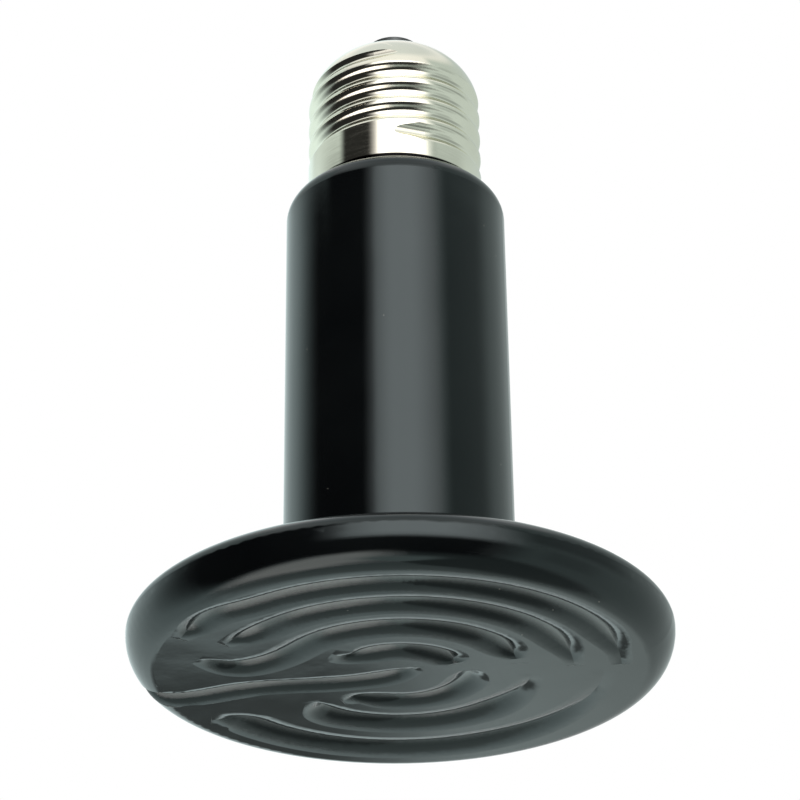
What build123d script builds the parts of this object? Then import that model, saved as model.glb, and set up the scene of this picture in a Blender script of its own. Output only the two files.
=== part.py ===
from build123d import *

import os
from math import acos, ceil, cos, degrees, pi, radians, sin, sqrt, tan

# Ceramic heat emitter with a screw cap, in millimetres.
# The frame stands on the ridged face: the origin is the middle of the face, +Z runs up the stem to
# the cap, and the dividing groove of the face comes in from the rim along -X.

# Disc
disc_diameter = 75.6
rim_height = 5.0
face_rounding = 4.1
back_rounding = 8.4
back_rise = 3.7
back_crown = 1.3

# Stem and the spigot that carries the cap
stem_diameter = 32.7
stem_foot_radius = 3.5
shoulder_height = 75.9
shoulder_radius = 3.2
spigot_diameter = 21.4
spigot_length = 17.0
spigot_edge_radius = 0.8

# Hollow inside the stem
floor_height = 10.5
stem_bore_diameter = 23.5
spigot_bore_diameter = 14.5
bore_neck_drop = 6.9
bore_taper_height = 4.0
bore_floor_radius = 2.5

# Grooves of the ridged face
divider_width = 5.8
groove_depth = 1.5
groove_relief = 0.8
groove_lip_share = 0.06
tip_width_share = 0.45
tip_depth_share = 0.03
hook_fade = 6.0
station_spacing = 3.5

# Each ring groove: its width, how far it lies inside the face's edge, the bearing where it fades
# out, the span over which it fades, the bearing where its hook begins, and the hook as steps
# outward from the ring at a bearing. The lengths are for a face of the pattern's radius, and the
# whole pattern is fitted to the face.
pattern_radius = 33.7
far_rim_ring = (8.4, 5.9, 12.0, 76.0, 148.0, ((1.2, 159.5), (3.6, 163.0)))
far_middle_ring = (7.8, 15.9, 14.0, 50.0, 132.0, ((-0.8, 143.0), (-2.4, 157.0)))
far_inner_ring = (6.3, 24.3, 6.0, 24.0, 112.0, ((0.7, 136.0), (3.2, 144.0)))
near_rim_ring = (6.2, 3.5, 8.0, 24.0, -112.0, ((1.4, -126.0), (1.9, -142.5)))
near_second_ring = (6.2, 9.9, 7.0, 24.0, -122.0, ((0.9, -134.0), (2.2, -141.5)))
near_third_ring = (6.6, 17.2, 1.0, 24.0, -128.0, ((1.8, -150.0), (6.6, -158.5), (11.6, -154.0)))
near_inner_ring = (6.3, 25.3, -14.0, 24.0, -98.0, ((0.7, -122.0), (3.6, -127.0)))

# The dividing groove: how far its mouth climbs the rim, its weave, and the turn at its inner end
mouth_rise = 4.2
divider_weave = 0.5
divider_end = (3.4, -2.1)

# Screw cap, rolled from sheet
cap_gap = 0.65
cap_height = 28.1
sheet_thickness = 0.3
crest_diameter = 26.2
root_diameter = 24.26
thread_pitch = 3.629
thread_turns = 3.9
thread_lead_in = 4.9
thread_bearing = -54.6
thread_run_out = 6.0
crest_land = 0.15
dome_start = 16.45
dome_rise = 10.25
lip_opening_diameter = 13.0

# Glass and contact on top of the cap
glass_skirt_diameter = 20.0
glass_edge_height = 1.0
glass_drop = 3.2
contact_diameter = 8.6
contact_thickness = 0.8
contact_edge_radius = 0.25
contact_hole_diameter = 2.4
contact_overhang = 0.3
solder_bead_diameter = 3.6
solder_crown = 0.3

# Wires, sleeves and solder inside
wire_diameter = 0.9
wire_spacing = 6.0
wire_root_depth = 2.0
wire_bend_radius = 2.0
wire_crossing_drop = 2.4
wire_joint_rise = 4.4
sleeve_diameter = 2.6
sleeve_wall = 0.6
sleeve_end_drop = 0.4
side_solder_diameter = 2.6

# Cement ring
cement_length = 12.5
cement_recess = 1.6

# Fits
fit_clearance = 0.05
thread_clearance = 0.1

disc_radius = disc_diameter / 2
face_radius = disc_radius - face_rounding
pattern_fit = face_radius / pattern_radius
back_radius = disc_radius - back_rounding
back_height = rim_height + back_rise
stem_radius = stem_diameter / 2
spigot_radius = spigot_diameter / 2
shoulder_fillet = min(shoulder_radius, stem_radius - spigot_radius - spigot_edge_radius)
spigot_top = shoulder_height + spigot_length
bore_top = shoulder_height - bore_neck_drop
crest_radius = crest_diameter / 2
root_radius = root_diameter / 2
cap_base = shoulder_height + cap_gap
contact_top = cap_base + cap_height
contact_base = contact_top - contact_thickness
contact_radius = contact_diameter / 2
lip_radius = lip_opening_diameter / 2
throat_radius = lip_radius - fit_clearance
dome_base = cap_base + dome_start
lining_radius = crest_radius - sheet_thickness
glass_base = contact_base - contact_thickness - glass_drop
wire_radius = wire_diameter / 2
wire_root = floor_height - wire_root_depth
wire_crossing = glass_base - wire_crossing_drop
joint_height = dome_base + wire_joint_rise


def polar(radius, bearing):
    return (radius * cos(radians(bearing)), radius * sin(radians(bearing)))


def groove_section(plane, width, fullness):
    """A groove's section: lips that roll down from the face, almost level at first, into a crease."""
    half = width / 2 * (tip_width_share + (1 - tip_width_share) * fullness)
    depth = groove_depth * (tip_depth_share + (1 - tip_depth_share) * fullness)
    roll = Vector(half, depth).get_angle(Vector(1, 0)) * (1 - groove_lip_share)
    bulge = sqrt(half**2 + depth**2) / 2 * tan(radians(roll / 2))
    with BuildSketch(plane) as section:
        with BuildLine():
            near_lip = SagittaArc((-half, 0), (0, depth), -bulge)
            far_lip = SagittaArc(near_lip @ 1, (half, 0), -bulge)
            Polyline(far_lip @ 1, (half, -groove_relief), (-half, -groove_relief), near_lip @ 0)
        make_face()
    return section.sketch.face()


def station(route, distance, width, fullness):
    """The groove's section at a distance along its route."""
    origin = route.position_at(distance, position_mode=PositionMode.LENGTH)
    heading = route.tangent_at(distance, position_mode=PositionMode.LENGTH)
    across = Vector(0, 0, 1).cross(heading)
    return groove_section(Plane(origin=origin, x_dir=across, z_dir=heading), width, fullness)


def swell(distance, fade):
    """Fullness of a groove at a distance from its tip: it swells smoothly to full size."""
    return sin(pi / 2 * min(1.0, distance / fade)) ** 2


def sections_along(route, width, first_fade, last_fade):
    """Sections of a groove along its route, faded over the given lengths at its two ends."""
    steps = ceil(route.length / (station_spacing * pattern_fit))
    stations = [route.length * step / steps for step in range(steps + 1)]
    return [
        station(route, at, width, min(swell(at, first_fade), swell(route.length - at, last_fade)))
        for at in stations
    ]


with BuildPart() as ceramic_body:
    # Outside and hollow inside, turned about the stem's axis
    with BuildSketch(Plane.XZ):
        with BuildLine():
            face_line = Line((0, 0), (face_radius, 0))
            face_edge = EllipticalCenterArc(
                (face_radius, rim_height), face_rounding, rim_height, -90, arc_size=90
            )
            back_edge = EllipticalCenterArc(
                (back_radius, rim_height), back_rounding, back_rise, 0, arc_size=90
            )
            outside = FilletPolyline(
                back_edge @ 1,
                (stem_radius, back_height + back_crown),
                (stem_radius, shoulder_height),
                (spigot_radius, shoulder_height),
                (spigot_radius, spigot_top),
                (spigot_bore_diameter / 2, spigot_top),
                radius=(stem_foot_radius, shoulder_fillet, 0, spigot_edge_radius),
            )
            inside = FilletPolyline(
                outside @ 1,
                (spigot_bore_diameter / 2, bore_top + bore_taper_height),
                (stem_bore_diameter / 2, bore_top),
                (stem_bore_diameter / 2, floor_height),
                (0, floor_height),
                radius=(bore_floor_radius, bore_floor_radius, bore_floor_radius),
            )
            Line(inside @ 1, face_line @ 0)
        make_face()
    revolve(axis=Axis.Z)

    # Ring grooves: each fades in along its arc and ends in a hook
    for width, inset, fade_bearing, fade_span, hook_bearing, hook in (
        far_rim_ring,
        far_middle_ring,
        far_inner_ring,
        near_rim_ring,
        near_second_ring,
        near_third_ring,
        near_inner_ring,
    ):
        ring_radius = (pattern_radius - inset) * pattern_fit
        bends = [
            Vector(*polar(ring_radius + step * pattern_fit, bearing)) for step, bearing in hook
        ]
        with BuildLine(mode=Mode.PRIVATE) as ring:
            arc = CenterArc((0, 0), ring_radius, fade_bearing, hook_bearing - fade_bearing)
            Spline(arc @ 1, *bends, tangents=(arc % 1, bends[-1] - bends[-2]))
        fade = ring_radius * radians(fade_span)
        turn_in = hook_fade * pattern_fit
        sections = sections_along(ring.wire(), width * pattern_fit, fade, turn_in)
        loft(sections, mode=Mode.SUBTRACT)

    # Dividing groove, from its mouth on the rim to the turn at the middle
    with BuildLine(mode=Mode.PRIVATE) as divider:
        Spline(
            (-disc_radius, 0, mouth_rise),
            (-face_radius - face_rounding / 2, 0, mouth_rise / 5),
            (-face_radius + face_rounding, divider_weave, 0),
            (-face_radius * 2 / 3, -divider_weave, 0),
            (-face_radius / 3, divider_weave, 0),
            (0, -divider_weave / 2, 0),
            (divider_end[0] * pattern_fit, divider_end[1] * pattern_fit, 0),
        )
    tip = hook_fade * pattern_fit
    sections = sections_along(divider.wire(), divider_width * pattern_fit, tip, tip)
    loft(sections, mode=Mode.SUBTRACT)

    # Holes in the floor where the wires come out of the fired clay
    with Locations(Plane.XY.offset(floor_height)):
        with GridLocations(wire_spacing, wire_spacing, 2, 1):
            Hole(wire_radius + fit_clearance, depth=wire_root_depth)


def dome_arc(inset, start_radius, end_radius):
    """The cap's dome, drawn in by an inset, between two radii."""
    across = crest_radius - inset
    start = degrees(acos(start_radius / across))
    return EllipticalCenterArc(
        (0, dome_base),
        across,
        dome_rise - inset,
        start,
        arc_size=degrees(acos(end_radius / across)) - start,
    )


def dome_radius(height):
    """Radius of the cap's lining at a height within the dome."""
    share = (height - dome_base) / (dome_rise - sheet_thickness)
    return lining_radius * sqrt(1 - share**2)


def inside_cap(inset):
    """Everything inside the cap's outer skin, drawn in by an inset, as a solid of revolution."""
    with BuildPart() as room:
        with BuildSketch(Plane.XZ):
            with BuildLine():
                dome = dome_arc(inset, crest_radius - inset, 0)
                Polyline(dome @ 1, (0, cap_base), (crest_radius - inset, cap_base), dome @ 0)
            make_face()
        revolve(axis=Axis.Z)
    return room.part


def thread_section(plane, inset, top):
    """The thread's rolled hollow from land to land: x is outward from the root, y along the cap."""
    rise = crest_radius - root_radius
    half = thread_pitch / 2
    bend = (rise**2 + half**2) / (4 * rise)
    lean = Vector(rise / 2 - bend, half / 2) / bend
    turn = Vector(bend, 0) + lean * (bend + inset)
    crest = (rise - bend + sqrt((bend - inset) ** 2 - crest_land**2), half - crest_land)
    lip = Vector(rise - bend, half) + Vector(cos(pi / 6), -sin(pi / 6)) * (bend - inset)
    with BuildSketch(plane) as section:
        with BuildLine():
            root = ThreePointArc((turn.X, -turn.Y), (-inset, 0), turn)
            upper = ThreePointArc(root @ 1, lip, crest)
            lower = ThreePointArc(root @ 0, (lip.X, -lip.Y), (crest[0], -crest[1]))
            Polyline(upper @ 1, (top, crest[1]), (top, -crest[1]), lower @ 1)
        make_face()
    return section.sketch.face()


def thread_bar(inset, top):
    """The thread's hollow swept up its helix, with a straight run-out at each end."""
    with BuildPart() as bar:
        with BuildLine(mode=Mode.PRIVATE) as path:
            Helix(
                pitch=thread_pitch,
                height=thread_pitch * thread_turns,
                radius=root_radius,
                center=(0, 0, cap_base + thread_lead_in),
            )
        helix = path.edge()
        bottom = Plane(helix @ 0, x_dir=(1, 0, 0), z_dir=helix % 0)
        last = polar(1, 360 * thread_turns)
        upper = Plane(helix @ 1, x_dir=(last[0], last[1], 0), z_dir=helix % 1)
        sweep(thread_section(bottom, inset, top), path=helix, is_frenet=True)
        extrude(thread_section(bottom, inset, top), amount=-thread_run_out)
        extrude(thread_section(upper, inset, top), amount=thread_run_out)
    return bar.part


with BuildPart() as thread_bead:
    add(thread_bar(sheet_thickness, crest_radius - root_radius - sheet_thickness / 2))
    add(inside_cap(sheet_thickness / 2), mode=Mode.INTERSECT)

with BuildPart() as screw_shell:
    with BuildSketch(Plane.XZ):
        with BuildLine():
            skin = dome_arc(0, crest_radius, lip_radius)
            lining = dome_arc(sheet_thickness, lining_radius, lip_radius)
            Line(skin @ 1, lining @ 1)
            Polyline(lining @ 0, (lining_radius, cap_base), (crest_radius, cap_base), skin @ 0)
        make_face()
    revolve(axis=Axis.Z)
    add(thread_bead.part, rotation=(0, 0, thread_bearing))
    add(
        thread_bar(0, crest_radius - root_radius + groove_relief),
        rotation=(0, 0, thread_bearing),
        mode=Mode.SUBTRACT,
    )

with BuildPart() as cap_insulator:
    with BuildSketch(Plane.XZ):
        with BuildLine():
            seat = dome_arc(sheet_thickness + fit_clearance, glass_skirt_diameter / 2, throat_radius)
            collar = Line(seat @ 1, (throat_radius, (skin @ 1).Y))
            Polyline(
                collar @ 1,
                (contact_radius + contact_overhang, contact_base),
                (0, contact_base),
                (0, glass_base),
                (glass_skirt_diameter / 2, (seat @ 0).Y - glass_edge_height),
                seat @ 0,
            )
        make_face()
    revolve(axis=Axis.Z)
    with Locations(Plane.XY.offset(contact_base)):
        Hole(wire_radius + fit_clearance)

with BuildPart() as centre_contact:
    with BuildSketch(Plane.XY.offset(contact_base)):
        Circle(contact_radius)
        Circle(contact_hole_diameter / 2, mode=Mode.SUBTRACT)
    extrude(amount=contact_thickness)
    top_rims = centre_contact.edges().group_by(Axis.Z)[-1]
    fillet(top_rims.sort_by(SortBy.RADIUS)[-1], contact_edge_radius)

with BuildPart() as cap_cement:
    with BuildSketch(Plane.XY.offset(cap_base + cement_recess)):
        Circle(root_radius - sheet_thickness - thread_clearance)
        Circle(spigot_radius + fit_clearance, mode=Mode.SUBTRACT)
    extrude(amount=cement_length)

with BuildPart() as contact_lead:
    # Up the stem, across to the axis and up through the glass
    with BuildLine() as contact_route:
        FilletPolyline(
            (-wire_spacing / 2, 0, wire_root),
            (-wire_spacing / 2, 0, wire_crossing - wire_spacing / 2),
            (0, 0, wire_crossing),
            (0, 0, contact_top),
            radius=wire_bend_radius,
        )
    with BuildSketch(Plane.XY.offset(wire_root)):
        with Locations((-wire_spacing / 2, 0)):
            Circle(wire_radius)
    sweep(path=contact_route.wire())

with BuildPart() as shell_lead:
    # Up the stem and out to the inside of the dome
    with BuildLine() as shell_route:
        FilletPolyline(
            (wire_spacing / 2, 0, wire_root),
            (wire_spacing / 2, 0, joint_height),
            (dome_radius(joint_height + wire_radius) - fit_clearance, 0, joint_height),
            radius=wire_bend_radius,
        )
    with BuildSketch(Plane.XY.offset(wire_root)):
        with Locations((wire_spacing / 2, 0)):
            Circle(wire_radius)
    sweep(path=shell_route.wire())

with BuildPart() as contact_solder:
    with BuildSketch(Plane.XZ):
        with BuildLine():
            crown = TangentArc(
                (0, contact_top + solder_crown), (solder_bead_diameter / 2, contact_top), tangent=(1, 0)
            )
            Polyline(
                crown @ 1,
                (contact_hole_diameter / 2, contact_top),
                (contact_hole_diameter / 2, contact_base),
                (0, contact_base),
                crown @ 0,
            )
        make_face()
    revolve(axis=Axis.Z)
    add(contact_lead.part, mode=Mode.SUBTRACT)

with BuildPart() as shell_solder:
    with Locations((dome_radius(joint_height), 0, joint_height)):
        Sphere(side_solder_diameter / 2)
    add(inside_cap(sheet_thickness), mode=Mode.INTERSECT)
    add(shell_lead.part, mode=Mode.SUBTRACT)

pieces = {
    "ceramic_body": ceramic_body,
    "screw_shell": screw_shell,
    "cap_insulator": cap_insulator,
    "centre_contact": centre_contact,
    "cap_cement": cap_cement,
    "contact_lead": contact_lead,
    "shell_lead": shell_lead,
    "contact_solder": contact_solder,
    "shell_solder": shell_solder,
}

for name, side in (("contact_lead_sleeve", -1), ("shell_lead_sleeve", 1)):
    with BuildPart() as sleeve:
        with BuildSketch(Plane.XY.offset(floor_height)):
            with Locations((side * wire_spacing / 2, 0)):
                Circle(sleeve_diameter / 2)
                Circle(sleeve_diameter / 2 - sleeve_wall, mode=Mode.SUBTRACT)
        extrude(amount=spigot_top - sleeve_end_drop - floor_height)
    pieces[name] = sleeve

os.makedirs("parts", exist_ok=True)
for name, piece in pieces.items():
    piece.part.label = name
    export_step(piece.part, f"parts/{name}.step")
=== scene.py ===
# %% [markdown]
# Ceramic heat emitter: the look of a glazed and plated part.
#
# The object is a heat lamp without light: a cast ceramic disc and stem under a black glaze, with a
# nickel-plated screw cap on top. The solid model already has the right sizes, so this script is about
# surfaces: how a gloss glaze and a thin plated sheet look, and how a studio has to be built round
# them, because a glossy black thing shows little else than what stands round it.

# %% Load the solid model
import math

import bmesh
import bpy
from mathutils import Matrix, Vector


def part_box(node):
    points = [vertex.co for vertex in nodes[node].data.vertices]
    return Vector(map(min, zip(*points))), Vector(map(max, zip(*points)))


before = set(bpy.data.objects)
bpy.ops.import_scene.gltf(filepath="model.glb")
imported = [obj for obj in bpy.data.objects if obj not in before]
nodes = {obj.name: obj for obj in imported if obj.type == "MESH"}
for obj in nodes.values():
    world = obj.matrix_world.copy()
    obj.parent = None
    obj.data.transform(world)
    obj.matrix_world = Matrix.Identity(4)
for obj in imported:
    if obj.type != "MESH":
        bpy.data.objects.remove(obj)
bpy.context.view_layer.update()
MILLIMETRE = 0.001
print("pieces:", ", ".join(sorted(nodes)))

# %% [markdown]
# A direction, as seen from the piece, is a bearing round it and an elevation over the horizon. The
# camera and the whole studio are placed by such directions, because that is how a photographer
# thinks of a studio: high on the left, low behind. One small helper turns the two angles into a
# vector that Blender can use.

# %% Directions round the piece


def heading(bearing, elevation):
    """Unit vector at a bearing from +X and an elevation over the horizon, both in degrees."""
    flat = math.cos(math.radians(elevation))
    return Vector((
        flat * math.cos(math.radians(bearing)),
        flat * math.sin(math.radians(bearing)),
        math.sin(math.radians(elevation)),
    ))


print("a heading:", [round(value, 2) for value in heading(0.0, 30.0)])

# %% [markdown]
# The camera looks up at the ridged face from below and in front, from about 0.38 m, with a long lens.
# A camera is a position and a direction, so it could be turned by hand until it looks right. Here it
# was worked out from the outline of the real object: how round the disc looks gives the height of
# the eye, and how much the far side shrinks gives the distance. Its small roll is kept too.

# %% Camera
LENS_MM = 117.0
SENSOR_MM = 36.0
NEAREST_SEEN = 0.01
FARTHEST_SEEN = 100.0
CAMERA_DISTANCE = 376.76 * MILLIMETRE
CAMERA_BEARING = -76.6
CAMERA_PITCH = 28.49
CAMERA_ROLL = -0.69
AIM_HEIGHT = 42.88 * MILLIMETRE
AIM_SHIFT = 0.003

camera_data = bpy.data.cameras.new("camera")
camera_data.lens = LENS_MM
camera_data.sensor_width = SENSOR_MM
camera_data.shift_x = AIM_SHIFT
camera_data.clip_start = NEAREST_SEEN
camera_data.clip_end = FARTHEST_SEEN
camera = bpy.data.objects.new("camera", camera_data)
bpy.context.scene.collection.objects.link(camera)

aim = Vector((0, 0, AIM_HEIGHT))
outward = heading(CAMERA_BEARING, -CAMERA_PITCH)
camera.location = aim + outward * CAMERA_DISTANCE
look = (-outward).to_track_quat("-Z", "Y").to_matrix().to_4x4()
roll = Matrix.Rotation(math.radians(CAMERA_ROLL), 4, "Z")
camera.rotation_euler = (look @ roll).to_euler()
bpy.context.scene.camera = camera
print("camera at", [round(value, 3) for value in camera.location])

# %% [markdown]
# Every finish and every light here is a small tree of nodes: boxes that take values in on the left
# and give them out on the right. Trees can be drawn with the mouse in the node editor, but in a
# script each box and each link takes a line, and the same few groups come back again and again. So
# the two commonest get a helper: arithmetic on two values, and a mix of two shaders.

# %% Helpers: arithmetic and mixes of shaders


def combine(tree, operation, first, second):
    """One sum, product or the like of two values that come from nodes."""
    node = tree.nodes.new("ShaderNodeMath")
    node.operation = operation
    tree.links.new(first, node.inputs[0])
    tree.links.new(second, node.inputs[1])
    return node.outputs[0]


def mix_shaders(tree, share, first, second):
    """The first shader where the share is 0, and the second where it is 1."""
    mix = tree.nodes.new("ShaderNodeMixShader")
    tree.links.new(share, mix.inputs["Fac"])
    tree.links.new(first, mix.inputs[1])
    tree.links.new(second, mix.inputs[2])
    return mix.outputs[0]


print("helpers for arithmetic and for mixes of shaders")

# %% [markdown]
# The room. Black glaze mirrors only a twenty-fifth of what is straight in front of it and much more
# at a slant, and nickel mirrors most of it, so the surroundings are what we see. The room is plain
# white. A world that is white at full strength would also light the piece fully from all sides and
# wash the black out. So a Light Path node tells the rays apart: those that are seen or mirrored find
# white, and those that carry light find a softer fill.

# %% Studio: white room
ROOM_WHITE = (1.0, 1.0, 1.0, 1.0)
ROOM_SEEN = 1.0
ROOM_FILL = 0.8


def white_background(tree, strength):
    """The white of the room at one strength."""
    node = tree.nodes.new("ShaderNodeBackground")
    node.inputs["Color"].default_value = ROOM_WHITE
    node.inputs["Strength"].default_value = strength
    return node.outputs[0]


def white_room():
    """A world that is plain white where it is seen or mirrored, and a softer fill as a light."""
    world = bpy.data.worlds.new("white_room")
    world.use_nodes = True
    tree = world.node_tree
    tree.nodes.clear()
    ray = tree.nodes.new("ShaderNodeLightPath").outputs
    seen = combine(tree, "MAXIMUM", ray["Is Camera Ray"], ray["Is Glossy Ray"])
    seen = combine(tree, "MAXIMUM", seen, ray["Is Transmission Ray"])
    fill = white_background(tree, ROOM_FILL)
    backdrop = white_background(tree, ROOM_SEEN)
    output = tree.nodes.new("ShaderNodeOutputWorld")
    tree.links.new(mix_shaders(tree, seen, fill, backdrop), output.inputs["Surface"])
    bpy.context.scene.world = world


white_room()
bpy.context.scene.view_settings.view_transform = "Standard"
print("white room, with a fill of", ROOM_FILL)

# %% [markdown]
# The floor is a wide sheet of pale matt paper. The piece hangs free over it, as it hangs from its
# lamp holder in use, so the floor lies well below. A small sheet would show its edge in the cap, so
# this one is a large disc that runs far out of sight in every direction.

# %% Studio: floor
FLOOR_DROP = 1.3
FLOOR_RADIUS = 20.0
FLOOR_SIDES = 96
PAPER_COLOUR = (0.9, 0.9, 0.9, 1.0)
PAPER_ROUGHNESS = 0.9


def new_material(name):
    """An empty node material, with its tree and its output node."""
    material = bpy.data.materials.new(name)
    material.use_nodes = True
    tree = material.node_tree
    tree.nodes.clear()
    return material, tree, tree.nodes.new("ShaderNodeOutputMaterial")


def floor_paper():
    """Plain pale paper without gloss."""
    material, tree, output = new_material("floor_paper")
    paper = tree.nodes.new("ShaderNodeBsdfPrincipled")
    paper.inputs["Base Color"].default_value = PAPER_COLOUR
    paper.inputs["Roughness"].default_value = PAPER_ROUGHNESS
    tree.links.new(paper.outputs[0], output.inputs["Surface"])
    return material


def pale_floor():
    """A round floor below the piece."""
    mesh = bpy.data.meshes.new("floor")
    form = bmesh.new()
    bmesh.ops.create_circle(form, cap_ends=True, segments=FLOOR_SIDES, radius=FLOOR_RADIUS)
    bmesh.ops.translate(form, verts=form.verts, vec=(0, 0, -FLOOR_DROP))
    form.to_mesh(mesh)
    form.free()
    floor = bpy.data.objects.new("floor", mesh)
    bpy.context.scene.collection.objects.link(floor)
    mesh.materials.append(floor_paper())


pale_floor()
print("floor", FLOOR_DROP, "m below")

# %% [markdown]
# Photographers place white and black cards round a glossy piece: white ones draw highlights, black
# ones draw edges. Flat cards on stands would work here too, but each would need a place, a turn and
# a size. So every card is a patch of one large ball round the piece, given by the bearings and
# elevations that it spans as seen from the piece. The camera is at bearing 0, and bearings grow
# towards the right of the picture. The patch is a net of faces, and its UV map holds the two angles
# of each corner in degrees, for the material to read.

# %% Studio: shape of a card
CARD_STEP = 4.0
FEWEST_STRIPS = 2


def strips(span):
    """How many strips of about one step a span of degrees is cut into."""
    return max(FEWEST_STRIPS, round((span[1] - span[0]) / CARD_STEP))


def along(span, share):
    """The angle at a share of the way along a span of degrees."""
    return span[0] + (span[1] - span[0]) * share


def card_mesh(name, bearings, elevations, distance):
    """A patch of a ball round the aim, with its angles as a UV map."""
    across = strips(bearings)
    up = strips(elevations)
    form = bmesh.new()
    angles = form.loops.layers.uv.new("angles")
    rows = []
    for row in range(up + 1):
        elevation = along(elevations, row / up)
        rows.append([])
        for column in range(across + 1):
            bearing = along(bearings, column / across)
            place = aim + heading(CAMERA_BEARING + bearing, elevation) * distance
            rows[-1].append((form.verts.new(place), (bearing, elevation)))
    for low, high in zip(rows, rows[1:]):
        for column in range(across):
            corners = (low[column], high[column], high[column + 1], low[column + 1])
            face = form.faces.new([vert for vert, angle in corners])
            for loop, (vert, angle) in zip(face.loops, corners):
                loop[angles].uv = angle
    mesh = bpy.data.meshes.new(name)
    form.to_mesh(mesh)
    form.free()
    return mesh


print("a card of 90 degrees has", strips((0, 90)), "strips")

# %% [markdown]
# A card glows at the level that it should have in the reflections. Its edges fade out over some
# degrees, as a soft box does behind its diffuser, because a hard edge in a reflection looks like a
# crack in the glaze. The fade could be a painted picture, but four smooth steps of the two angles,
# one for each edge, multiplied with each other, stay smooth at every size and are easy to move.

# %% Studio: glow of a card


def fade_in(tree, value, start, end):
    """A smooth step of an angle from 0 at the start to 1 at the end."""
    step = tree.nodes.new("ShaderNodeMapRange")
    step.interpolation_type = "SMOOTHSTEP"
    step.inputs["From Min"].default_value = start
    step.inputs["From Max"].default_value = end
    tree.links.new(value, step.inputs["Value"])
    return step.outputs["Result"]


def between(tree, value, span, first_soft, last_soft):
    """1 inside a span of degrees, fading to 0 at its first and its last angle."""
    enter = fade_in(tree, value, span[0], span[0] + first_soft)
    leave = fade_in(tree, value, span[1], span[1] - last_soft)
    return combine(tree, "MULTIPLY", enter, leave)


def card_material(name, bearings, elevations, soft, glow, tint):
    """A glow that fades out towards the four edges: left, right, lower and upper."""
    material, tree, output = new_material(name)
    angles = tree.nodes.new("ShaderNodeUVMap")
    angles.uv_map = "angles"
    split = tree.nodes.new("ShaderNodeSeparateXYZ")
    tree.links.new(angles.outputs[0], split.inputs[0])
    left, right, lower, upper = soft
    across = between(tree, split.outputs[0], bearings, left, right)
    up = between(tree, split.outputs[1], elevations, lower, upper)
    light = tree.nodes.new("ShaderNodeEmission")
    light.inputs["Color"].default_value = (*tint, 1.0)
    light.inputs["Strength"].default_value = glow
    clear = tree.nodes.new("ShaderNodeBsdfTransparent")
    share = combine(tree, "MULTIPLY", across, up)
    mix = mix_shaders(tree, share, clear.outputs[0], light.outputs[0])
    tree.links.new(mix, output.inputs["Surface"])
    return material


print("cards fade out at their four edges")

# %% [markdown]
# The cards only serve the reflections, so the camera doesn't see them and they cast no shadow. One
# of them, the key light, lights the piece too. Each card lies a little nearer than the one before
# it, so the later card is in front where two overlap. The first ones stand above and behind: the
# ceiling is what the dome of the cap mirrors, and the two low cards behind are what the creases and
# the lower rim pick up. A little colour in each card makes the blacks and whites cool, as they are
# on the real piece.

# %% Studio: cards above and behind
CARD_DISTANCE = 1.1
CARD_LAYER = 0.004
NEUTRAL_TINT = (1.0, 1.0, 1.0)
ROOM_TINT = (0.88, 1.0, 0.98)
CEILING_TINT = (0.94, 1.0, 1.02)
cards = []


def studio_card(name, bearings, elevations, soft, glow, tint=NEUTRAL_TINT, lights=False):
    """Sets one card up in front of those before it. soft is left, right, lower and upper."""
    mesh = card_mesh(name, bearings, elevations, CARD_DISTANCE - CARD_LAYER * len(cards))
    mesh.materials.append(card_material(name, bearings, elevations, soft, glow, tint))
    card = bpy.data.objects.new(name, mesh)
    bpy.context.scene.collection.objects.link(card)
    card.visible_camera = False
    card.visible_shadow = False
    card.visible_diffuse = lights
    cards.append(card)


studio_card("ceiling", (-190, 190), (58, 92), (5, 5, 14, 2), 0.78, CEILING_TINT)
studio_card("behind_low", (128, 232), (-50, -8), (24, 24, 16, 12), 1.15, ROOM_TINT)
studio_card("behind_lower", (128, 250), (-90, -38), (20, 20, 4, 16), 0.66, ROOM_TINT)
print(len(cards), "cards above and behind")

# %% [markdown]
# On the right a grey wall runs from beside the camera to the back. It gives the stem its even grey
# right side and the right of the face its sheen. A darker card in front of it makes the dark band
# beside the stem's right edge, and two more shade what the rim sees below.

# %% Studio: cards on the right
studio_card("right_wall", (36, 186), (-56, 52), (14, 26, 12, 14), 0.66, ROOM_TINT)
studio_card("right_wall_dark", (42, 112), (-4, 46), (16, 24, 14, 14), 0.38, ROOM_TINT)
studio_card("right_floor", (-12, 172), (-90, -42), (26, 22, 2, 12), 0.27, ROOM_TINT)
studio_card("right_low_patch", (54, 92), (-34, 2), (12, 16, 12, 12), 0.5, ROOM_TINT)
print(len(cards), "cards with the right side")

# %% [markdown]
# On the left the wall is brighter and ends in a long black card, which is the deep black of the
# stem's left half. The wall's far end lies straight behind the piece, where the flat of the face
# mirrors it. There a small dark card keeps the flat dark and leaves the slopes of the creases bright.

# %% Studio: cards on the left
LEFT_TINT = (0.85, 1.0, 1.0)
studio_card("left_wall", (-188, -82), (-56, 60), (12, 14, 12, 14), 1.0, LEFT_TINT)
studio_card("behind_left", (177, 198), (-26.2, -12), (6, 9, 1.8, 6), 0.22, ROOM_TINT)
studio_card("left_black", (-126, -18), (-54, 50), (42, 8, 16, 14), 0.02)
print(len(cards), "cards with the left side")

# %% [markdown]
# Two cards high at the sides close the gap between walls and ceiling, for the upper flanks of the
# thread. In front, the key light is a large soft box: it draws the grey band down the stem and is
# the only card that lights the piece. A black card below it blackens the front of the rim, and two
# bright ones near the floor light the rim's lower edge from the left and from the front.

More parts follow.
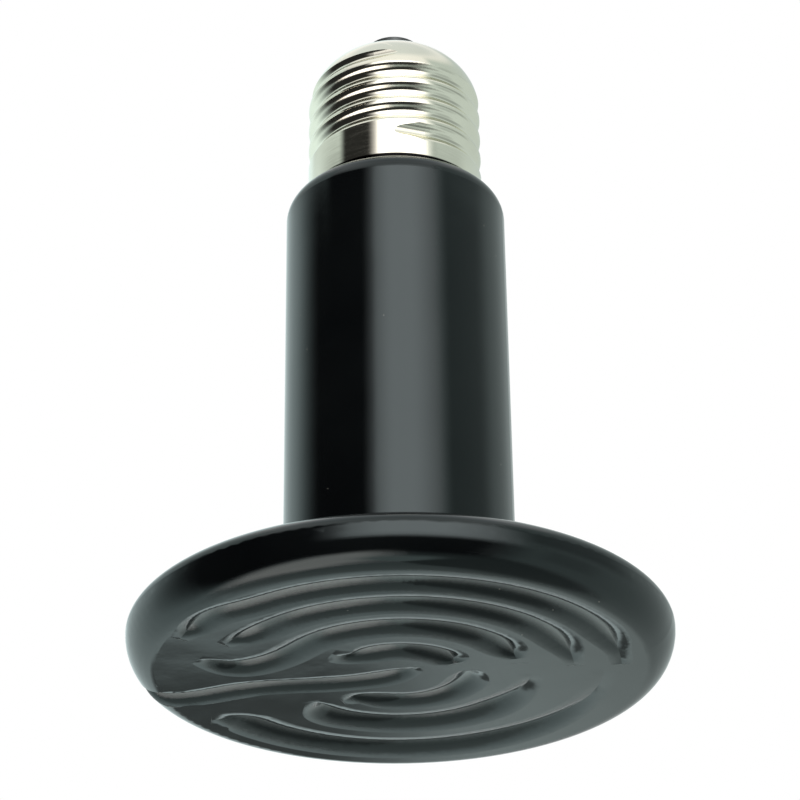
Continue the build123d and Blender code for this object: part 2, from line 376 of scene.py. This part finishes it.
# %% Studio: cards high up, in front and below
SOFT_BOX_TINT = (1.0, 0.97, 0.99)
LOW_LIGHT_TINT = (1.1, 1.0, 0.97)
studio_card("right_upper", (46, 180), (33, 66), (16, 24, 3, 14), 0.62, ROOM_TINT)
studio_card("left_upper", (-150, -68), (33, 66), (20, 12, 3, 14), 0.75, ROOM_TINT)
studio_card("front_black", (-42, 60), (-62, -2), (14, 30, 14, 14), 0.03)
studio_card("low_left_light", (-126, 6), (-86, -42), (36, 32, 16, 14), 2.4, LOW_LIGHT_TINT)
studio_card("front_floor", (-46, 46), (-90, -60), (30, 30, 2, 12), 1.1, ROOM_TINT)
studio_card("key_light", (-36, 56), (-16, 50), (34, 44, 18, 16), 3.1, SOFT_BOX_TINT, lights=True)
print(len(cards), "cards in all, at", CARD_DISTANCE, "m")

# %% [markdown]
# No fired or plated surface is one colour. Its colour, its gloss and its height all wander a little,
# each at a scale of its own, and the eye takes that wandering for the real stuff. Pictures of such
# surfaces could be wrapped round the piece, but they stretch and show seams. So the finishes are
# worked out from noise in the piece's own coordinates, in lumps a metre. Noise seldom leaves its
# middle range, so a second helper maps that range to the one that a finish asks for.

# %% Finishes: noise and ranges
NOISE_LOW = 0.3
NOISE_HIGH = 0.7


def object_coordinates(tree):
    """The place on the piece in metres, which stays put when the camera moves."""
    return tree.nodes.new("ShaderNodeTexCoord").outputs["Object"]


def noise(tree, coordinates, lumps_per_metre, detail=2.0):
    """A noise texture on the object's own coordinates."""
    texture = tree.nodes.new("ShaderNodeTexNoise")
    texture.inputs["Scale"].default_value = lumps_per_metre
    texture.inputs["Detail"].default_value = detail
    tree.links.new(coordinates, texture.inputs["Vector"])
    return texture.outputs["Fac"]


def spread(tree, value, low, high, start=NOISE_LOW, end=NOISE_HIGH):
    """Maps a texture's middle range, or another one, to a range of its own."""
    remap = tree.nodes.new("ShaderNodeMapRange")
    remap.inputs["From Min"].default_value = start
    remap.inputs["From Max"].default_value = end
    remap.inputs["To Min"].default_value = low
    remap.inputs["To Max"].default_value = high
    tree.links.new(value, remap.inputs["Value"])
    return remap.outputs["Result"]


print("noise is used from", NOISE_LOW, "to", NOISE_HIGH)

# %% [markdown]
# A value that wanders can drive two things that the eye notices. It can mix two colours, such as
# clean and worn, and it can raise and lower the surface. Real waves in the mesh would need millions
# of small faces, so heights below a tenth of a millimetre are left to a bump, which only tilts the
# light. Its height is given in metres, so it stays true to scale.

# %% Finishes: colours and heights


def blend_colours(tree, share, first, second):
    """Mixes two colours, each fixed or from a node, by a share that comes from a node."""
    mix = tree.nodes.new("ShaderNodeMix")
    mix.data_type = "RGBA"
    tree.links.new(share, mix.inputs["Factor"])
    for name, colour in (("A", first), ("B", second)):
        socket = [entry for entry in mix.inputs if entry.name == name and entry.type == "RGBA"][0]
        if isinstance(colour, bpy.types.NodeSocket):
            tree.links.new(colour, socket)
        else:
            socket.default_value = colour
    return [entry for entry in mix.outputs if entry.type == "RGBA"][0]


def bump(tree, height, distance, under=None):
    """A bump of a real height in metres, on top of another one where that is given."""
    node = tree.nodes.new("ShaderNodeBump")
    node.inputs["Strength"].default_value = 1.0
    node.inputs["Distance"].default_value = distance
    tree.links.new(height, node.inputs["Height"])
    if under is not None:
        tree.links.new(under, node.inputs["Normal"])
    return node.outputs["Normal"]


print("helpers for mixed colours and for heights")

# %% [markdown]
# Along the creases of the face a pale seam is painted on both banks: a painted highlight that stands
# in for the light the slopes of the creases catch. Painting the seams by hand would be slow, so they
# are found by how open a place is: an Ambient Occlusion node says how much of the sky over it its own
# piece leaves free.
# On the flat that is nearly all, and down in a crease little more than half. Fired glaze also has
# pinholes where gas came through. A Voronoi texture has one cell for each, and only the small middle
# of a cell is a dot.

# %% Finishes: hollows for the painted crease highlight, and pinholes
OPEN_IN_CREASE = 0.58
OPEN_ON_FLAT = 0.86
OPENNESS_SAMPLES = 16
DOT_CORE = 0.6


def hollows(tree, reach):
    """How deep a place lies in a hollow of its own piece: 0 on the flat, 1 in a crease."""
    openness = tree.nodes.new("ShaderNodeAmbientOcclusion")
    openness.samples = OPENNESS_SAMPLES
    openness.only_local = True
    openness.inputs["Distance"].default_value = reach
    return spread(tree, openness.outputs["AO"], 1.0, 0.0, OPEN_IN_CREASE, OPEN_ON_FLAT)


def pinholes(tree, coordinates, per_metre, size):
    """Rare small dots: 1 inside a dot and 0 elsewhere."""
    cells = tree.nodes.new("ShaderNodeTexVoronoi")
    cells.inputs["Scale"].default_value = per_metre
    tree.links.new(coordinates, cells.inputs["Vector"])
    return spread(tree, cells.outputs["Distance"], 1.0, 0.0, size * DOT_CORE, size)


print("a crease is open by", OPEN_IN_CREASE, "and the flat by", OPEN_ON_FLAT)

# %% [markdown]
# The colour of the glaze. In the lump the glaze is almost black, with cloudier patches where it is
# thin or handled. The colours here are far darker than the glaze looks, because nearly all that we see
# of it is reflection. They are laid over each other: first the black with its clouds, then the painted
# highlight along the creases, then the pinholes.

# %% Black glaze: colour
GLAZE_BLACK = (0.0012, 0.0015, 0.0018, 1.0)
GLAZE_WORN = (0.0028, 0.0034, 0.0036, 1.0)
# Painted highlight: a pale colour along the creases, for the light their slopes catch.
GLAZE_CREASE_HIGHLIGHT = (0.26, 0.295, 0.285, 1.0)
GLAZE_PINHOLE = (0.24, 0.23, 0.20, 1.0)
CREASE_HIGHLIGHT_REACH = 4.0 * MILLIMETRE
CLOUDS_PER_METRE = 55.0
PINHOLES_PER_METRE = 230.0
PINHOLE_SHARE = 0.022


def glaze_colour(tree, place):
    """Black with cloudier patches, a painted highlight along the creases, and pale pinholes."""
    cloud = noise(tree, place, CLOUDS_PER_METRE, detail=3.0)
    colour = blend_colours(tree, spread(tree, cloud, 0.0, 1.0), GLAZE_BLACK, GLAZE_WORN)
    # Painted highlight along the creases, where the hollows mask is high.
    colour = blend_colours(tree, hollows(tree, CREASE_HIGHLIGHT_REACH), colour, GLAZE_CREASE_HIGHLIGHT)
    dots = pinholes(tree, place, PINHOLES_PER_METRE, PINHOLE_SHARE)
    return blend_colours(tree, dots, colour, GLAZE_PINHOLE)


# The painted crease highlight reaches this far from a crease.
print("the creases' glaze is found within", CREASE_HIGHLIGHT_REACH / MILLIMETRE, "mm")

# %% [markdown]
# The waves of the glaze. It melts in the kiln and creeps a little before it sets, so its surface is
# never quite true. A straight reflection on it wanders, and that more than the colour says that it
# is glass on clay. One noise would look like orange peel. Two are used, as on the real piece: a slow
# one about a centimetre long, and a very low fine one on top of it.

# %% Black glaze: waves
SLOW_WAVES_PER_METRE = 90.0
SLOW_WAVE_HEIGHT = 0.06 * MILLIMETRE
FINE_WAVES_PER_METRE = 600.0
FINE_WAVE_HEIGHT = 0.003 * MILLIMETRE


def glaze_waves(tree, place):
    """The slow run of the glaze with a finer wave on it."""
    slow = noise(tree, place, SLOW_WAVES_PER_METRE, detail=1.0)
    fine = noise(tree, place, FINE_WAVES_PER_METRE, detail=1.0)
    return bump(tree, fine, FINE_WAVE_HEIGHT, under=bump(tree, slow, SLOW_WAVE_HEIGHT))


print("a slow wave is about", round(1 / SLOW_WAVES_PER_METRE / MILLIMETRE), "mm long")

# %% [markdown]
# Black glaze. On the real piece it is a layer of glass fired onto the clay, with a hard, clear gloss.
# A single colour with low roughness would look like plastic. So the roughness varies a little from
# place to place, the waves bend the reflections, and the index of refraction is that of glass, which
# sets how much more the glaze mirrors at a slant. A faint green in the gleam is the glass's own.

# %% Black glaze: the material
GLAZE_GLEAM = (0.84, 1.0, 0.99, 1.0)
GLAZE_IOR = 1.5
GLAZE_ROUGHNESS = (0.05, 0.10)
DULL_SPOTS_PER_METRE = 140.0


def black_glaze():
    """Clear gloss over near black."""
    material, tree, output = new_material("black_glaze")
    place = object_coordinates(tree)
    glaze = tree.nodes.new("ShaderNodeBsdfPrincipled")
    glaze.inputs["IOR"].default_value = GLAZE_IOR
    glaze.inputs["Specular Tint"].default_value = GLAZE_GLEAM
    tree.links.new(glaze_colour(tree, place), glaze.inputs["Base Color"])
    dull_spots = noise(tree, place, DULL_SPOTS_PER_METRE)
    tree.links.new(spread(tree, dull_spots, *GLAZE_ROUGHNESS), glaze.inputs["Roughness"])
    tree.links.new(glaze_waves(tree, place), glaze.inputs["Normal"])
    tree.links.new(glaze.outputs[0], output.inputs["Surface"])
    return material


def dress(node, material):
    """Puts a finish on a piece of the solid model, in its own material slots."""
    piece = nodes[node]
    if not piece.material_slots:
        piece.data.materials.append(material)
    for slot in piece.material_slots:
        slot.link = "OBJECT"
        slot.material = material


dress("ceramic_body", black_glaze())
print("glaze on the body")

# %% [markdown]
# The seam at the foot of the cap. Where the sheet's edge meets the ceramic shoulder there is a narrow
# gap in shadow. That shadow is painted into the nickel's colour as a dark line less than a millimetre
# high, and a line that fine is easier to tint into the finish than to cut into the sheet. The height
# on the cap says where the painted shadow is: fully dark at the foot, and gone where the seam ends.

# %% Nickel plate: painted shadow in the seam at the foot
SEAM_HEIGHT = 0.7 * MILLIMETRE
SEAM_FADE = SEAM_HEIGHT / 4

cap_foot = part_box("screw_shell")[0].z


def foot_seam_shadow(tree, place):
    """1 in the painted shadow of the seam at the cap's foot and 0 above it."""
    split = tree.nodes.new("ShaderNodeSeparateXYZ")
    tree.links.new(place, split.inputs[0])
    seam_top = cap_foot + SEAM_HEIGHT
    return spread(tree, split.outputs["Z"], 1.0, 0.0, seam_top - SEAM_FADE, seam_top)


print("seam from", round(cap_foot / MILLIMETRE, 2), "mm up, for", SEAM_HEIGHT / MILLIMETRE, "mm")

# %% [markdown]
# Rolling lines. The cap spins between rollers when its thread is pressed in, which leaves faint lines
# round it. They are far finer than the thread, so they are a finish and not a form. Noise makes such
# lines when its coordinates are stretched: with the height counted many times over, each round lump
# becomes a thin flat streak.

# %% Nickel plate: rolling lines
LINES_PER_METRE = 260.0
LINE_STRETCH = (1.0, 1.0, 14.0)
LINE_DEPTH = 0.002 * MILLIMETRE


def rolling_lines(tree, place):
    """Noise that is stretched into thin lines round the cap."""
    stretch = tree.nodes.new("ShaderNodeMapping")
    stretch.inputs["Scale"].default_value = LINE_STRETCH
    tree.links.new(place, stretch.inputs["Vector"])
    return noise(tree, stretch.outputs[0], LINES_PER_METRE)


print("a line is", LINE_STRETCH[2], "times as long as it is high")

# %% [markdown]
# Nickel plate. The cap is rolled from thin sheet and then plated, so it is a bright, slightly warm
# metal, smooth along the thread. A metal has no colour under its reflection: the two nickel colours
# tint what it mirrors, and a low roughness keeps the cards' edges readable in it. A plain chrome
# look would be bluer and sharper than real nickel, which is a little yellow and a little soft.

# %% Nickel plate: the material
NICKEL_BRIGHT = (0.90, 0.88, 0.74, 1.0)
NICKEL_DULL = (0.82, 0.80, 0.67, 1.0)
NICKEL_ROUGHNESS = (0.06, 0.12)
TARNISH_PER_METRE = 120.0
# Painted shadow for the gap between the cap's foot and the ceramic shoulder.
SEAM_PAINTED_SHADOW = (0.004, 0.004, 0.004, 1.0)


def nickel_plate():
    """Bright plate with duller patches, rolling lines and a painted shadow in the seam."""
    material, tree, output = new_material("nickel_plate")
    place = object_coordinates(tree)
    metal = tree.nodes.new("ShaderNodeBsdfPrincipled")
    metal.inputs["Metallic"].default_value = 1.0
    tarnish = spread(tree, noise(tree, place, TARNISH_PER_METRE, detail=4.0), 0.0, 1.0)
    colour = blend_colours(tree, tarnish, NICKEL_BRIGHT, NICKEL_DULL)
    # Painted shadow at the cap's foot, laid over the nickel colour.
    colour = blend_colours(tree, foot_seam_shadow(tree, place), colour, SEAM_PAINTED_SHADOW)
    tree.links.new(colour, metal.inputs["Base Color"])
    lines = rolling_lines(tree, place)
    tree.links.new(spread(tree, lines, *NICKEL_ROUGHNESS), metal.inputs["Roughness"])
    tree.links.new(bump(tree, lines, LINE_DEPTH), metal.inputs["Normal"])
    tree.links.new(metal.outputs[0], output.inputs["Surface"])
    return material


dress("screw_shell", nickel_plate())
print("nickel on the cap")

# %% [markdown]
# The small pieces could each have a material of their own from nothing. They differ only in
# numbers, though, so one helper makes them all: a colour that wanders between two, a roughness that
# wanders with it, and a grain of a real height where the surface has one. The grain is several
# times finer than the patches, as it is on cast, drawn and unglazed surfaces.

# %% Small pieces: one helper for their finishes
GRAIN_FINENESS = 6.0


def mottled(name, light, dark, patches, roughness, metallic=0.0, grain=0.0):
    """A finish between two colours and two roughnesses, with patches a metre and a grain in metres."""
    material, tree, output = new_material(name)
    place = object_coordinates(tree)
    shader = tree.nodes.new("ShaderNodeBsdfPrincipled")
    shader.inputs["Metallic"].default_value = metallic
    patch = noise(tree, place, patches, detail=4.0)
    colour = blend_colours(tree, spread(tree, patch, 0.0, 1.0), (*light, 1.0), (*dark, 1.0))
    tree.links.new(colour, shader.inputs["Base Color"])
    tree.links.new(spread(tree, patch, *roughness), shader.inputs["Roughness"])
    if grain:
        texture = noise(tree, place, patches * GRAIN_FINENESS, detail=3.0)
        tree.links.new(bump(tree, texture, grain), shader.inputs["Normal"])
    tree.links.new(shader.outputs[0], output.inputs["Surface"])
    return material


print("a grain is", GRAIN_FINENESS, "times finer than the patches")

# %% [markdown]
# The top of the cap. The contact plate is brass, coloured here as a dark, dull metal, a bead of soft
# solder holds the wire in it, and black glass keeps it apart from the shell. A second bead joins the
# other wire to the inside of the shell. The glass is opaque, so it needs no light through it: a dark,
# nearly even colour with a soft gloss is enough.

# %% Small pieces: glass, contact and solder
cap_glass = mottled(
    "cap_glass",
    light=(0.012, 0.011, 0.016),
    dark=(0.02, 0.02, 0.028),
    patches=300.0,
    roughness=(0.08, 0.16),
)
dull_contact = mottled(
    "dull_contact",
    light=(0.11, 0.12, 0.115),
    dark=(0.06, 0.065, 0.065),
    patches=500.0,
    roughness=(0.3, 0.5),
    metallic=1.0,
    grain=0.006 * MILLIMETRE,
)
solder = mottled(
    "solder",
    light=(0.62, 0.63, 0.64),
    dark=(0.40, 0.41, 0.42),
    patches=700.0,
    roughness=(0.22, 0.4),
    metallic=1.0,
    grain=0.01 * MILLIMETRE,
)
dress("cap_insulator", cap_glass)
dress("centre_contact", dull_contact)
dress("contact_solder", solder)
dress("shell_solder", solder)
print("finishes on glass, contact and solder")

# %% [markdown]
# The pieces inside are seen only if the cap is taken off: the pale cement that holds the cap on the
# ceramic, the two wires that bring the current, and the clay tubes that keep the wires apart. They
# could share one grey, but someone may take the part to pieces, so each gets its own finish from
# the same helper. Cement is coarse and matt, drawn wire has a satin sheen, and unglazed clay is dry
# and a little chalky.

# %% Small pieces: cement, wires and sleeves
cement = mottled(
    "cement",
    light=(0.72, 0.70, 0.66),
    dark=(0.58, 0.56, 0.52),
    patches=400.0,
    roughness=(0.8, 0.95),
    grain=0.04 * MILLIMETRE,
)
lead_wire = mottled(
    "lead_wire",
    light=(0.62, 0.60, 0.56),
    dark=(0.46, 0.44, 0.41),
    patches=500.0,
    roughness=(0.3, 0.45),
    metallic=1.0,
)
sleeve_clay = mottled(
    "sleeve_clay",
    light=(0.86, 0.83, 0.76),
    dark=(0.76, 0.73, 0.66),
    patches=300.0,
    roughness=(0.6, 0.8),
    grain=0.01 * MILLIMETRE,
)
dress("cap_cement", cement)
for lead in ("contact_lead", "shell_lead"):
    dress(lead, lead_wire)
    dress(lead + "_sleeve", sleeve_clay)
print("finishes on cement, wires and sleeves")
